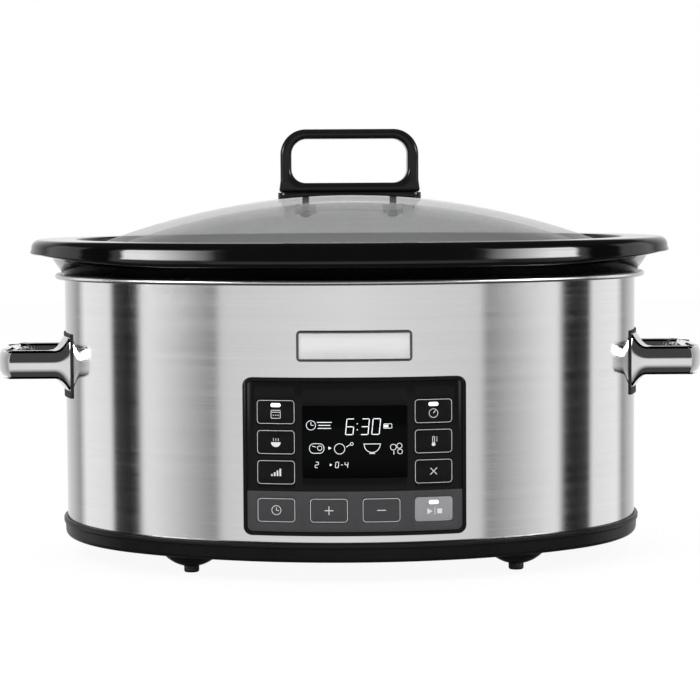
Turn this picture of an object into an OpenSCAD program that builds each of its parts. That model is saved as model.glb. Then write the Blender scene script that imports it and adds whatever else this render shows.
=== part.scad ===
// Oval slow cooker: steel shell on a black base, lift-out stoneware crock, domed glass lid,
// loop side handles and a curved control panel with a display and ten push keys.
// Millimetres. The origin is on the ground under the middle, +Z up, the panel faces -Y.

/* [Body] */
// Half of the shell's width
half_w = 166; // [150:1:200]
// Half of the shell's depth
half_d = 128; // [112:1:146]
// Height of the shell's top edge
shell_top = 161.3; // [158:0.1:200]
// Thickness of the shell's sheet
sheet = 0.8; // [0.6:0.1:1.2]
// Radius of the bright rolled lip round the top
bead_r = 1.5; // [1:0.1:2]
// How far the rolled lip stands out from the shell
bead_out = 5.5; // [4.5:0.1:6.5]

/* [Base] */
// Height of the base's underside over the ground
base_z = 11.2; // [10:0.1:16]
// Height of the base's rim over its underside
base_rim = 11; // [9:0.5:14]
// How far the base's lip stands out from the shell
base_out = 2.2; // [1.5:0.1:4]
// Thickness of the base's floor
base_floor = 2.4; // [2:0.1:3.2]
// Distance of the feet from the middle, along X
foot_x = 90; // [60:1:96]
// Distance of the feet from the middle, along Y
foot_y = 83; // [60:1:86]
// Radius of the rounded boss over each foot
boss_r = 20.5; // [16:0.5:22]
// Radius of a rubber foot
foot_r = 4.2; // [3.5:0.1:5]
// Height of a rubber foot
foot_h = 4; // [3:0.5:5]

/* [Heating well] */
// Distance of the well's wall inside the shell
well_in = 18; // [17:0.5:26]
// Height of the well's floor
well_z = 30; // [29:0.5:36]
// Height of the heater band
heater_h = 45; // [30:1:60]
// Thickness of the heater band
heater_t = 2; // [1.5:0.1:3]

/* [Crock] */
// Wall of the stoneware crock
crock_wall = 7; // [5:0.5:9]
// Gap between the crock and the heating well
crock_gap = 3.2; // [2.5:0.1:5]
// How far the rim's end lugs reach out from the shell
lug_out = 19.8; // [16:0.1:24]
// How far the rim reaches out at the front and back
brim_out = 12; // [10:0.5:15]
// Height of the rim over its seat
rim_h = 20.4; // [18:0.1:24]
// Gap between the rim and the flange that it rests on
seat_gap = 0.35; // [0.3:0.05:0.5]

/* [Lid] */
// Distance of the lid's edge inside the shell's outer face
lid_in = 9.5; // [9:0.5:12]
// Rise of the glass dome over its edge
dome_rise = 31.7; // [24:0.1:40]
// Thickness of the glass
glass = 4; // [3:0.5:5]
// Width of the lid handle
grip_w = 80; // [70:1:100]
// Height of the lid handle's loop over its base
grip_h = 37; // [32:1:46]
// Depth of the lid handle
grip_d = 24; // [18:1:28]
// Thickness of the lid handle's top bar
grip_bar = 5.6; // [4.5:0.1:8]
// Thickness of the lid handle's posts
grip_post = 6.4; // [5:0.1:8]
// Distance of the lid screws from the middle
lid_screw_x = 25.5; // [20:0.5:27]

/* [Side handles] */
// How far a side handle reaches out from the shell
handle_out = 39; // [34:1:50]
// Half of a side handle's width
handle_half = 38; // [34:1:44]
// Height of the middle of the side handles
handle_z = 111; // [100:1:116]
// Thickness of a side handle
handle_t = 18; // [15:1:22]
// Width of the handle's arms and grip
handle_arm = 12; // [10:0.5:13]
// Height of the root that the handle spreads into
handle_root = 35.4; // [30:0.2:40]
// Thickness of the root's plate between the arms
root_plate = 3.2; // [2.5:0.1:5]

/* [Control panel] */
// Height of the panel's lower edge
panel_z = 26; // [25:0.5:32]
// Width of the bezel's frame
bezel = 2; // [1.5:0.1:2.5]
// Width of a key
key_w = 20.8; // [16:0.1:25]
// Height of a key
key_h = 13.4; // [11:0.1:16.1]
// Travel of a key
key_travel = 0.6; // [0.4:0.1:0.8]
// Width of the display
display_w = 56.4; // [46:0.1:68]
// Height of the display
display_h = 38.8; // [32:0.1:42]
// Gap between the display and the keys beside it
column_gap = 3.6; // [3:0.1:6]
// Gap between the keys in a column
row_gap = 2.8; // [2:0.1:5]
// Gap between the columns and the bottom row of keys
band_gap = 7; // [4:0.1:10]
// Margin of the panel beside its keys
side_margin = 7.4; // [6:0.1:10]
// Margin of the panel under its keys
low_margin = 7.1; // [6.5:0.1:10]
// Margin of the panel over its keys
high_margin = 11.7; // [7:0.1:14]
// Width of the name plate
badge_w = 62; // [40:1:80]
// Height of the name plate
badge_h = 16.5; // [12:0.5:20]
// Gap between the panel and the name plate
badge_gap = 8.6; // [5:0.1:12]

/* [Cord inlet] */
// Radius of the cord gland's bore
inlet_r = 3.6; // [3:0.1:4.5]
// Height of the cord gland
inlet_z = 33; // [30:0.5:36]

/* [Hidden] */
round_fn = 180;
small_fn = 48;
front_fn = 360;
fit = 0.2;          // side gap between pieces that slot together
seat = 0.1;         // gap under a head or nut on a curved sheet
over = 1;           // how far a cutter runs past the face it cuts

// The plan outline is four tangent arcs whose joints lie along (0.6, 0.8) directions.
spread = 2.5 * (half_w - half_d);
end_x = 0.6 * spread;
front_y = 0.8 * spread;
end_r = half_d - 0.2 * spread;
front_r = end_r + spread;

base_top = base_z + base_rim;
shell_foot = base_z + 5.2;
floor_top = base_z + base_floor;
flange_top = shell_top + sheet;
bead_off = bead_out - bead_r;
crock_z = well_z + sheet + 2;
crock_off = -(well_in + sheet + crock_gap);
bowl_off = crock_off - crock_wall;
seat_in = -2;
seat_z = flange_top + seat_gap;
rim_top = seat_z + rim_h;
ledge_z = rim_top - 6.9;
lid_z = ledge_z + 0.3;
lid_half_w = half_w - lid_in;
lid_half_d = half_d - lid_in;
dome_top = lid_z + dome_rise - 0.3;
washer_h = 5.6;
hub_z = dome_top + 1.4;
heater_z = well_z + 14;
heater_off = heater_t + fit - well_in;
board_t = 1.6;
switch_h = 2.6;
key_x = display_w / 2 + column_gap + key_w / 2;
key_mid = key_x / 3;
key_pitch = key_h + row_gap;
row_bottom = panel_z + low_margin + key_h / 2;
row_1 = row_bottom + key_h + band_gap;
row_2 = row_1 + key_pitch;
row_3 = row_2 + key_pitch;
display_z = row_2 + 0.2;
panel_w = 2 * (key_x + key_w / 2 + side_margin);
panel_h = row_3 + key_h / 2 + high_margin - panel_z;
panel_mid = panel_z + panel_h / 2;
badge_z = panel_z + panel_h + badge_gap + badge_h / 2;
key_back = -1.9;
key_flange = 1.2;
board_front = front_face(key_x + (key_w + key_flange) / 2, key_back) - key_travel - 1.4;
fascia_top = 1;
fascia_back = -0.2;
bezel_back = -5;
recess_w = panel_w - 2 * bezel;
recess_h = panel_h - 2 * bezel;
wall_w = panel_w - 8;
wall_h = panel_h - 8;
pillar_r = 2.7;
pillar_x = wall_w / 2 - 2;
pillar_low_x = (key_x + key_mid) / 2;
pillar_z = wall_h / 2 - 2;
power_z = floor_top + 4;
power_x = -48;
power_y = -52;
power_w = 66;
power_d = 52;
gland_face = half_d + 0.1;
screw_turn = asin((handle_half - handle_arm / 2) / (end_r + handle_arm / 2));

// ---- outlines and sweeps -------------------------------------------------

// The parts of the plan under each arc: a wedge from the centre of an end arc, and for a front arc,
// whose centre lies s away, what is left between the two end wedges.
module end_wedge(reach) {
    polygon([[0, 0], [0.6 * reach, -0.8 * reach], [1.4 * reach, 0], [0.6 * reach, 0.8 * reach]]);
}

module front_wedge(reach, s) {
    polygon([[-0.6 * s, -0.8 * s], [-0.6 * reach, -0.8 * reach], [0, -1.4 * reach],
        [0.6 * reach, -0.8 * reach], [0.6 * s, -0.8 * s]]);
}

// The oval at a distance off outside the shell's outer face, w and d being half sizes.
module oval(off = 0, w = half_w, d = half_d) {
    s = 2.5 * (w - d);
    r = d - 0.2 * s + off;
    for (side = [0, 1]) mirror([side, 0]) translate([0.6 * s, 0]) intersection() {
        circle(r, $fn = round_fn);
        end_wedge(4 * half_w);
    }
    for (side = [0, 1]) mirror([0, side]) translate([0, 0.8 * s]) intersection() {
        circle(r + s, $fn = round_fn);
        front_wedge(4 * half_w, s);
    }
}

module oval_plate(off, low, high) translate([0, 0, low]) linear_extrude(height = high - low) oval(off);

module oval_ring(inner, outer, low, high) {
    translate([0, 0, low]) linear_extrude(height = high - low) difference() {
        oval(outer);
        oval(inner);
    }
}

// Sweeps a profile of [distance outside the oval, height] points all the way round.
module oval_sweep(profile, w = half_w, d = half_d) {
    s = 2.5 * (w - d);
    r = d - 0.2 * s;
    tall = 4 * shell_top;
    for (side = [0, 1]) mirror([side, 0, 0]) translate([0.6 * s, 0, 0]) intersection() {
        rotate_extrude($fn = round_fn) polygon([for (p = profile) [p[0] + r, p[1]]]);
        translate([0, 0, -tall / 2]) linear_extrude(height = tall) end_wedge(4 * half_w);
    }
    for (side = [0, 1]) mirror([0, side, 0]) translate([0, 0.8 * s, 0]) intersection() {
        rotate_extrude($fn = round_fn) polygon([for (p = profile) [p[0] + r + s, p[1]]]);
        translate([0, 0, -tall / 2]) linear_extrude(height = tall) front_wedge(4 * half_w, s);
    }
}

// Points of an arc, and of a rectangle with round corners.
function arc(c, r, from, to, n = 6) =
    [for (i = [0:n]) let (a = from + (to - from) * i / n) [c[0] + r * cos(a), c[1] + r * sin(a)]];
function rounded(w, h, r) = concat(
    arc([w / 2 - r, h / 2 - r], r, 0, 90), arc([r - w / 2, h / 2 - r], r, 90, 180),
    arc([r - w / 2, r - h / 2], r, 180, 270), arc([w / 2 - r, r - h / 2], r, 270, 360));

// A prism along Y with its outline seen from the front.
module front_prism(x, z, w, h, r) {
    translate([x, 0, z]) rotate([90, 0, 0]) linear_extrude(height = 2 * half_d) polygon(rounded(w, h, r));
}

// A curved slab on the front face, between two distances outside the shell.
module front_slab(x, z, w, h, r, inner, outer) {
    intersection() {
        translate([0, front_y, 0]) difference() {
            cylinder(h = shell_top, r = front_r + outer, $fn = front_fn);
            translate([0, 0, -over]) cylinder(h = shell_top + 2 * over, r = front_r + inner, $fn = front_fn);
        }
        front_prism(x, z, w, h, r);
    }
}

// A round bar along Y from near to far, both measured towards the front.
module front_bar(x, z, r, near, far) {
    translate([x, -near, z]) rotate([90, 0, 0]) cylinder(h = far - near, r = r, $fn = small_fn);
}

// ---- body ----------------------------------------------------------------

module shell() {
    color([0.76, 0.76, 0.77]) difference() {
        oval_ring(-sheet, 0, shell_foot, shell_top);
        front_prism(0, panel_mid, panel_w - 2.4, panel_h - 2.4, 4);
        for (x = badge_studs()) front_bar(x, badge_z, 1.4, half_d / 2, half_d + over);
        rear_bar(7, half_d / 2, half_d + over);
        each_screw() cylinder(h = 40, r = 1.9, center = true, $fn = small_fn);
    }
}

// A round bar along Y at the cord inlet, from near to far behind the middle.
module rear_bar(r, near, far) {
    translate([0, near, inlet_z]) rotate([-90, 0, 0]) cylinder(h = far - near, r = r, $fn = small_fn);
}

module heating_well() {
    wall = -well_in;
    lip = arc([bead_off, shell_top + sheet / 2], bead_r, 0, 330, 11);
    color([0.66, 0.67, 0.68]) union() {
        oval_ring(wall - sheet, wall, well_z, flange_top);
        oval_plate(wall, well_z, well_z + sheet);
        oval_ring(wall - sheet, bead_off, shell_top, flange_top);
        oval_sweep(lip);
    }
}

module heater_band() {
    color([0.55, 0.52, 0.48]) oval_ring(heater_off - heater_t, heater_off, heater_z, heater_z + heater_h);
}

module band_clamps() {
    color([0.7, 0.7, 0.72]) for (side = [0, 1]) mirror([side, 0, 0])
        translate([half_w + heater_off + seat, -6, heater_z]) cube([3, 12, heater_h]);
}

module base_pan() {
    profile = concat(
        [[-4, base_z]], arc([-2, base_z + 3.2], 3.2, 270, 348, 5),
        [[1.5, base_top - 3.2], [base_out, base_top - 2.8], [base_out, base_top - 0.4]],
        [[base_out - 0.4, base_top], [fit, base_top], [fit, shell_foot]],
        [[-sheet - fit, shell_foot], [-sheet - fit, base_top], [-4, base_top]]);
    color([0.06, 0.06, 0.065]) difference() {
        union() {
            oval_sweep(profile);
            oval_plate(-3.5, base_z, floor_top);
            each_foot() foot_boss();
            each_power_boss() cylinder(h = power_z - base_z, r = 3, $fn = small_fn);
        }
        each_foot() translate([0, 0, -over]) cylinder(h = foot_h + 7, r = 2.6, $fn = small_fn);
        translate([0, 0, base_z - over]) cylinder(h = base_floor + 2 * over, r = 3.4, $fn = small_fn);
        for (x = [20:8:84]) translate([x - 1.5, 25, base_z - over]) cube([3, 40, base_floor + 2 * over]);
        for (x = [20:8:84]) translate([x - 1.5, -65, base_z - over]) cube([3, 40, base_floor + 2 * over]);
        each_power_boss() translate([0, 0, 3]) cylinder(h = power_z, r = 1.2, $fn = small_fn);
    }
}

module each_foot() for (x = [-foot_x, foot_x], y = [-foot_y, foot_y]) translate([x, y, 0]) children();

module each_power_boss() {
    for (x = [-1, 1], y = [-1, 1])
        translate([power_x + x * (power_w / 2 - 4), power_y + y * (power_d / 2 - 4), base_z]) children();
}

// The rounded boss: a cap of a ball, cut flat where the rubber foot sits.
module foot_boss() {
    intersection() {
        translate([0, 0, boss_r + foot_h - 0.7]) sphere(boss_r, $fn = 96);
        translate([0, 0, foot_h]) cylinder(h = base_z - foot_h + 1, r = boss_r, $fn = 96);
    }
}

module rubber_feet() {
    color([0.1, 0.1, 0.1]) each_foot() rotate_extrude($fn = small_fn) polygon(concat(
        [[0, 0], [foot_r - 1.6, 0]], arc([foot_r - 1.2, 1.2], 1.2, 300, 360, 4),
        [[foot_r, foot_h], [2.5, foot_h], [2.5, foot_h + 5], [0, foot_h + 5]]));
}

module centre_stud() {
    low = foot_h + 2;
    color([0.7, 0.7, 0.7]) translate([0, 0, low]) cylinder(h = well_z - low, r = 3, $fn = small_fn);
}

module stand_off_tube() {
    color([0.72, 0.72, 0.7]) translate([0, 0, floor_top]) difference() {
        cylinder(h = well_z - floor_top, r = 6, $fn = small_fn);
        translate([0, 0, -over]) cylinder(h = well_z, r = 3 + fit, $fn = small_fn);
    }
}

module base_nut() {
    color([0.7, 0.7, 0.7]) translate([0, 0, base_z - 4]) difference() {
        cylinder(h = 4, r = 6, $fn = 6);
        translate([0, 0, -over]) cylinder(h = 6, r = 3.1, $fn = small_fn);
    }
}

// ---- electrics -----------------------------------------------------------

module thermal_fuse() {
    color([0.85, 0.8, 0.7]) translate([40, 12, well_z - 4]) union() {
        translate([-9, -2.5, 0]) cube([18, 5, 4]);
        translate([-13, -1, 1]) cube([26, 2, 1.2]);
    }
}

module temperature_sensor() {
    color([0.8, 0.8, 0.82]) translate([-40, 12, well_z - 6]) union() {
        cylinder(h = 6, r = 4, $fn = small_fn);
        translate([-7, -4.5, 0]) cube([14, 9, 1]);
    }
}

module power_board() {
    color([0.1, 0.35, 0.15]) difference() {
        translate([power_x - power_w / 2, power_y - power_d / 2, power_z]) cube([power_w, power_d, board_t]);
        each_power_boss() cylinder(h = 40, r = 1.4, $fn = small_fn);
    }
}

module relay() color([0.15, 0.3, 0.6]) on_power(14, 10) cube([16, 12, 9]);
module transformer() color([0.75, 0.6, 0.15]) on_power(-26, 8) cube([20, 16, 9.6]);
module terminal_block() {
    color([0.15, 0.5, 0.2]) on_power(2, -20) difference() {
        cube([22, 9, 9]);
        for (x = [4:7:18]) translate([x, 4.5, 5]) cylinder(h = 9, r = 1.5, $fn = small_fn);
    }
}
module on_power(x, y) translate([power_x + x, power_y + y, power_z + board_t]) children();

module cord_gland() {
    inner = half_d - sheet - 0.3;
    color([0.07, 0.07, 0.07]) difference() {
        union() {
            rear_bar(9, gland_face, gland_face + 3);
            rear_bar(6.8, inner - 5, gland_face + 1);
            rear_bar(8.4, inner - 5, inner - 0.2);
        }
        rear_bar(inlet_r, half_d / 2, half_d + 2 * handle_out);
    }
}

// ---- side handles --------------------------------------------------------

module each_screw() {
    for (side = [0, 1], turn = [-1, 1]) mirror([side, 0, 0]) translate([end_x, 0, handle_z])
        rotate([0, 0, turn * screw_turn]) translate([end_r, 0, 0]) rotate([0, 90, 0]) children();
}

// Seen from above: a loop with a gently bowed end and a finger opening.
module handle_plan() {
    tip = half_w + handle_out;
    bow = 160;
    difference() {
        intersection() {
            translate([tip - 40, 0]) polygon(rounded(80, 2 * handle_half, 9));
            translate([tip - bow, 0]) circle(bow, $fn = 2 * round_fn);
        }
        translate([(half_w + root_plate + tip - handle_arm) / 2, 0])
            polygon(rounded(handle_out - handle_arm - root_plate, 2 * (handle_half - handle_arm), 7));
        oval(fit + sheet);
    }
}

// Seen from the front: the bevelled grip, spreading into its root at the shell.
module handle_side() {
    tip = half_w + handle_out;
    t = handle_t / 2;
    root = handle_root / 2;
    polygon([[half_w - 30, -root], [half_w - 5, -root], [half_w - 2, 4 - root],
        [half_w + 2, -t - 0.8], [half_w + 6, -t], [tip - 4, -t], [tip - 1, 2.4 - t],
        [tip, 5 - t], [tip, t - 6], [tip - 1.4, t - 3], [tip - 5, t],
        [half_w + 6, t], [half_w + 2, t + 1], [half_w - 1, t + 4], [half_w - 4, root], [half_w - 30, root]]);
}

module handle() {
    color([0.3, 0.3, 0.31]) difference() {
        intersection() {
            translate([0, 0, handle_z - handle_root]) linear_extrude(height = 2 * handle_root) handle_plan();
            translate([0, handle_half + over, handle_z]) rotate([90, 0, 0])
                linear_extrude(height = 2 * (handle_half + over)) handle_side();
        }
        each_screw() cylinder(h = 12, r = 1.6, $fn = small_fn);
    }
}

module handle_left() mirror([1, 0, 0]) handle();
module handle_right() handle();

module handle_gaskets() {
    tall = handle_root + 1.2;
    wide = 2 * handle_half + 1.2;
    color([0.05, 0.05, 0.05]) difference() {
        intersection() {
            oval_ring(0, fit + sheet, handle_z - tall / 2, handle_z + tall / 2);
            translate([-2 * half_w, -wide / 2, 0]) cube([4 * half_w, wide, shell_top]);
        }
        each_screw() cylinder(h = 40, r = 2.4, center = true, $fn = small_fn);
    }
}

module handle_screws() {
    color([0.6, 0.6, 0.62]) each_screw() union() {
        translate([0, 0, -sheet - 2.3]) cylinder(h = 2, r = 3.4, $fn = small_fn);
        translate([0, 0, -sheet - 1]) cylinder(h = 11, r = 1.5, $fn = small_fn);
    }
}

// ---- plate on the front --------------------------------------------------

function badge_studs() = [-0.36 * badge_w, 0.36 * badge_w];

module badge_plate() {
    color([0.8, 0.8, 0.8]) union() {
        difference() {
            front_slab(0, badge_z, badge_w, badge_h, 2.2, 0, 1.6);
            front_slab(0, badge_z, badge_w - 2.6, badge_h - 2.6, 1.2, 1, 4);
        }
        for (x = badge_studs()) front_bar(x, badge_z, 1.2, half_d - 6, half_d - 0.6);
    }
}

module badge_nuts() {
    back = front_face(badge_studs()[1], -sheet) - 0.7;
    color([0.65, 0.65, 0.65]) for (x = badge_studs()) difference() {
        front_bar(x, badge_z, 3.5, back - 0.8, back);
        front_bar(x, badge_z, 1.2 + seat, back - 3, back + 3);
    }
}

// ---- control panel -------------------------------------------------------

module panel_bezel() {
    color([0.03, 0.03, 0.03]) difference() {
        union() {
            bezel_frame();
            intersection() {
                each_pillar() cylinder(h = 20, r = pillar_r, $fn = small_fn);
                translate([0, front_y, 0]) cylinder(h = shell_top, r = front_r + fascia_back, $fn = front_fn);
            }
        }
        each_pillar() translate([0, 0, -over]) cylinder(h = 4.5, r = 1.1, $fn = small_fn);
    }
}

module bezel_frame() {
    difference() {
        union() {
            front_slab(0, panel_mid, panel_w, panel_h, 4.5, 0, 1.4);
            front_slab(0, panel_mid, panel_w - 3, panel_h - 3, 3.6, bezel_back, 0.5);
        }
        front_slab(0, panel_mid, recess_w, recess_h, 3, fascia_back, 6);
        front_slab(0, panel_mid, wall_w, wall_h, 2.5, bezel_back - 4, 1);
    }
}

module each_pillar() {
    for (x = [-1, 1], p = [[pillar_x, pillar_z], [pillar_low_x, -pillar_z]])
        translate([x * p[0], -board_front, panel_mid + p[1]]) rotate([90, 0, 0]) children();
}

module panel_fascia() {
    gap = 2 * fit;
    color([0.02, 0.02, 0.02]) difference() {
        front_slab(0, panel_mid, recess_w - gap, recess_h - gap, 2.8, fascia_back, fascia_top);
        for (p = key_places()) front_prism(p[0], p[1], key_w, key_h, 2);
        front_prism(0, display_z, display_w, display_h, 0.8);
    }
}

function key_places() = concat(
    [for (x = [-key_x, key_x], z = [row_1, row_2, row_3]) [x, z]],
    [for (x = [-key_x, -key_mid, key_mid, key_x]) [x, row_bottom]]);

module display_window() {
    top = fascia_top - 0.1;
    color([0.05, 0.06, 0.07, 0.6])
        front_slab(0, display_z, display_w - 2 * fit, display_h - 2 * fit, 0.6, fascia_back, top);
}

module lcd_module() {
    face = front_face(display_w / 2 + 1.2, fascia_back) - 0.45;
    color([0.1, 0.12, 0.14]) translate([-display_w / 2 - 1.2, -face, display_z - display_h / 2 - 2])
        cube([display_w + 2.4, face - board_front, display_h + 4]);
}

module control_board() {
    color([0.1, 0.35, 0.15]) difference() {
        translate([0, board_t - board_front, panel_mid]) rotate([90, 0, 0]) linear_extrude(height = board_t)
            polygon(rounded(wall_w - 2 * fit, wall_h - 2 * fit, 2.6));
        each_pillar() cylinder(h = 20, r = 1.3, center = true, $fn = small_fn);
    }
}

module board_screws() {
    color([0.6, 0.6, 0.62]) each_pillar() union() {
        translate([0, 0, -board_t - 1.3]) cylinder(h = 1.3, r = 1.7, $fn = small_fn);
        translate([0, 0, -board_t - 0.5]) cylinder(h = board_t + 3.5, r = 1, $fn = small_fn);
    }
}

module tact_switches() {
    color([0.2, 0.2, 0.2]) for (p = key_places())
        translate([p[0], -board_front, p[1]]) rotate([90, 0, 0]) union() {
        translate([-3, -3, 0]) cube([6, 6, switch_h - 0.6]);
        cylinder(h = switch_h, r = 1.6, $fn = small_fn);
    }
}

// A flat cable: down the back of the control board, along the floor and up to the power board.
module ribbon_cable() {
    thick = 0.8;
    bend = 1.2;
    low = floor_top + 1;
    front = thick - board_front + board_t;
    back = power_y - power_d / 2 + 2.2;
    start_z = panel_mid - wall_h / 2 + 8;
    color([0.75, 0.75, 0.78]) translate([power_x + 2, 0, 0]) rotate([90, 0, 90]) linear_extrude(height = 14)
        polygon([[front - thick, start_z], [front - thick, low + bend], [front - thick + bend, low],
            [back, low], [back + thick, low + bend], [back + thick, power_z],
            [back, power_z], [back, low + bend + 0.2], [back - 0.4, low + thick],
            [front + 0.4, low + thick], [front, low + bend + 0.2], [front, start_z]]);
}

// A key: a cap in the fascia, a flange that stops behind it and a stem down to its switch.
module key_cap(x, z) {
    gap = 2 * fit;
    stem = board_front + switch_h + key_travel + 0.2;
    union() {
        front_slab(x, z, key_w - gap, key_h - gap, 1.8, key_back, fascia_top + 0.1);
        front_slab(x, z, key_w + key_flange, key_h + key_flange, 2, key_back, fascia_back - 0.3);
        front_bar(x, z, 1.6, stem, front_face(x) - 1.6);
    }
}
// How far forward the front lies at x, for a surface off outside the shell.
function front_face(x, off = 0) = sqrt((front_r + off) * (front_r + off) - x * x) - front_y;
function lamp_z(z) = z + key_h / 2 - 3;

module lamp_key(x, z) {
    difference() {
        key_cap(x, z);
        front_slab(x, lamp_z(z), 5.4, 2.2, 1, fascia_top - 0.7, 6);
    }
}
module lamp(x, z) {
    color([0.95, 0.95, 0.9]) front_slab(x, lamp_z(z), 5.2, 2, 0.9, fascia_top - 0.7, fascia_top + 0.15);
}

key_black = [0.04, 0.04, 0.04];
key_grey = [0.2, 0.2, 0.2];
module key_schedule() color(key_black) lamp_key(-key_x, row_3);
module key_food() color(key_black) key_cap(-key_x, row_2);
module key_amount() color(key_black) key_cap(-key_x, row_1);
module key_manual() color(key_black) lamp_key(key_x, row_3);
module key_temperature() color(key_black) key_cap(key_x, row_2);
module key_cancel() color(key_black) key_cap(key_x, row_1);
module key_clock() color(key_grey) key_cap(-key_x, row_bottom);
module key_hour() color(key_grey) key_cap(-key_mid, row_bottom);
module key_minute() color(key_grey) key_cap(key_mid, row_bottom);
module key_start() color([0.5, 0.5, 0.5]) lamp_key(key_x, row_bottom);
module lamp_schedule() lamp(-key_x, row_3);
module lamp_manual() lamp(key_x, row_3);
module lamp_start() lamp(key_x, row_bottom);

// ---- crock ---------------------------------------------------------------

module crock() {
    lug = lug_out;
    brow = brim_out;
    foot = 14;
    brim = concat(
        [[-lug - 6, seat_z], [-lug + 1.5, seat_z], [-12, seat_z + 4.5], [-6.7, seat_z + 8.2]],
        arc([-4, rim_top - 6.5], 4, 315, 385, 6), arc([-5.2, rim_top - 4], 4, 42, 90, 4),
        [[-lug - 6, rim_top]]);
    outside = concat([[crock_off - 30, crock_z]], arc([crock_off - foot, crock_z + foot], foot, 270, 360, 7),
        [[crock_off - 30, crock_z + foot]]);
    inside = concat([[crock_off - 30, crock_z + crock_wall]],
        arc([crock_off - foot, crock_z + foot], foot - crock_wall, 270, 360, 6),
        [[crock_off - 30, crock_z + foot + over]]);
    color([0.02, 0.02, 0.02]) difference() {
        union() {
            oval_sweep(brim, half_w + lug, half_d + brow);
            oval_plate(crock_off, crock_z + foot, rim_top - 8);
            oval_plate(seat_in, seat_z, rim_top);
            oval_sweep(outside);
            oval_plate(crock_off - 24, crock_z, crock_z + foot);
        }
        oval_plate(bowl_off, crock_z + foot, rim_top + over);
        oval_sweep(inside);
        oval_plate(crock_off - 24, crock_z + crock_wall, crock_z + foot + over);
        oval_plate(-lid_in + 1, ledge_z, rim_top + over);
        oval_sweep([[-lid_in - 2, ledge_z + 3], [-lid_in + 1, ledge_z + 3],
            [-lid_in + 2.5, rim_top + over], [-lid_in - 2, rim_top + over]]);
    }
}

// ---- lid -----------------------------------------------------------------

// A point of the plan oval whose outward normal points along angle a.
function oval_point(w, d, a) = let (s = 2.5 * (w - d), r = d - 0.2 * s)
    abs(sin(a)) < 0.8 ? [sign(cos(a)) * 0.6 * s + r * cos(a), r * sin(a)]
    : [(r + s) * cos(a), (r + s) * sin(a) - sign(sin(a)) * 0.8 * s];
function dome(q) = dome_top - dome_rise * q * q;

// A closed solid from rings of [share of the plan, height], pole to pole.
module oval_rings(rings, turns) {
    n = len(rings);
    points = concat([[0, 0, rings[0][1]]],
        [for (i = [1:n - 2], j = [0:turns - 1])
            let (p = oval_point(lid_half_w, lid_half_d, 360 * (j + 0.5) / turns) * rings[i][0])
            [p[0], p[1], rings[i][1]]],
        [[0, 0, rings[n - 1][1]]]);
    last = (n - 2) * turns + 1;
    faces = concat(
        [for (j = [0:turns - 1]) [0, 1 + (j + 1) % turns, 1 + j]],
        [for (i = [0:n - 4], j = [0:turns - 1])
            let (a = 1 + i * turns + j, b = 1 + i * turns + (j + 1) % turns)
            each [[a, b, b + turns], [a, b + turns, a + turns]]],
        [for (j = [0:turns - 1]) [last, last - turns + j, last - turns + (j + 1) % turns]]);
    polyhedron(points = points, faces = faces, convexity = 6);
}

module lid_glass() {
    flat = 0.94;
    outer = [for (q = [0:0.1:0.9]) [q, dome(q)]];
    edge = [[flat, dome(0.9) - 2.4], [0.99, lid_z + 3.6], [1, lid_z + 2.8],
        [1, lid_z + 0.6], [0.99, lid_z], [flat, lid_z]];
    inner = [for (i = [9:-1:0]) [i / 10 * 0.985, dome(i / 10) - glass]];
    color([0.8, 0.85, 0.85, 0.35]) difference() {
        oval_rings(concat(outer, edge, inner), 64);
        each_lid_screw() cylinder(h = dome_top + 10, r = 3, $fn = small_fn);
    }
}

module each_lid_screw() for (x = [-lid_screw_x, lid_screw_x]) translate([x, 0, 0]) children();

module lid_handle() {
    w = grip_w;
    hole_h = grip_h - grip_bar - 6;
    color([0.03, 0.03, 0.03]) difference() {
        translate([0, grip_d / 2, hub_z]) rotate([90, 0, 0]) linear_extrude(height = grip_d) difference() {
            polygon(concat([[-w / 2 - 1, 0], [w / 2 + 1, 0], [w / 2, 8]],
                arc([w / 2 - 14, grip_h - 15], 14, 0, 90, 8),
                [[0, grip_h]], arc([14 - w / 2, grip_h - 15], 14, 90, 180, 8), [[-w / 2, 8]]));
            translate([0, 6 + hole_h / 2]) polygon(rounded(w - 2 * grip_post, hole_h, 8.5));
        }
        each_lid_screw() translate([0, 0, hub_z - over]) cylinder(h = 4.5 + over, r = 2.1, $fn = small_fn);
    }
}

module lid_handle_base() {
    low = hub_z - 16;
    color([0.03, 0.03, 0.03]) difference() {
        translate([0, 0, hub_z - 8]) linear_extrude(height = 8) polygon(rounded(grip_w + 3, grip_d + 2, 6));
        oval_rings(concat([for (q = [0:0.08:0.4]) [q, dome(q) + 0.15]], [[0.4, low], [0, low]]), 64);
        each_lid_screw() cylinder(h = 2 * dome_top, r = 2.2, $fn = small_fn);
    }
}

module lid_washers() {
    color([0.8, 0.82, 0.84, 0.5]) each_lid_screw() translate([0, 0, washer_top() - washer_h]) difference() {
        cylinder(h = washer_h, r = 6.1, $fn = small_fn);
        translate([0, 0, -over]) cylinder(h = washer_h + 2 * over, r = 2.2, $fn = small_fn);
    }
}
function washer_top() = dome((lid_screw_x + 6.1) / lid_half_w) - glass - 0.2;

module lid_screws() {
    head = washer_top() - washer_h;
    color([0.15, 0.15, 0.15]) each_lid_screw() union() {
        translate([0, 0, head - 2]) rotate_extrude($fn = small_fn)
            polygon([[0, 0], [2, 0.3], [3.2, 1.1], [3.6, 2], [0, 2]]);
        translate([0, 0, head - 0.5]) cylinder(h = hub_z + 4 - head + 0.5, r = 2, $fn = small_fn);
    }
}

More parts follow.
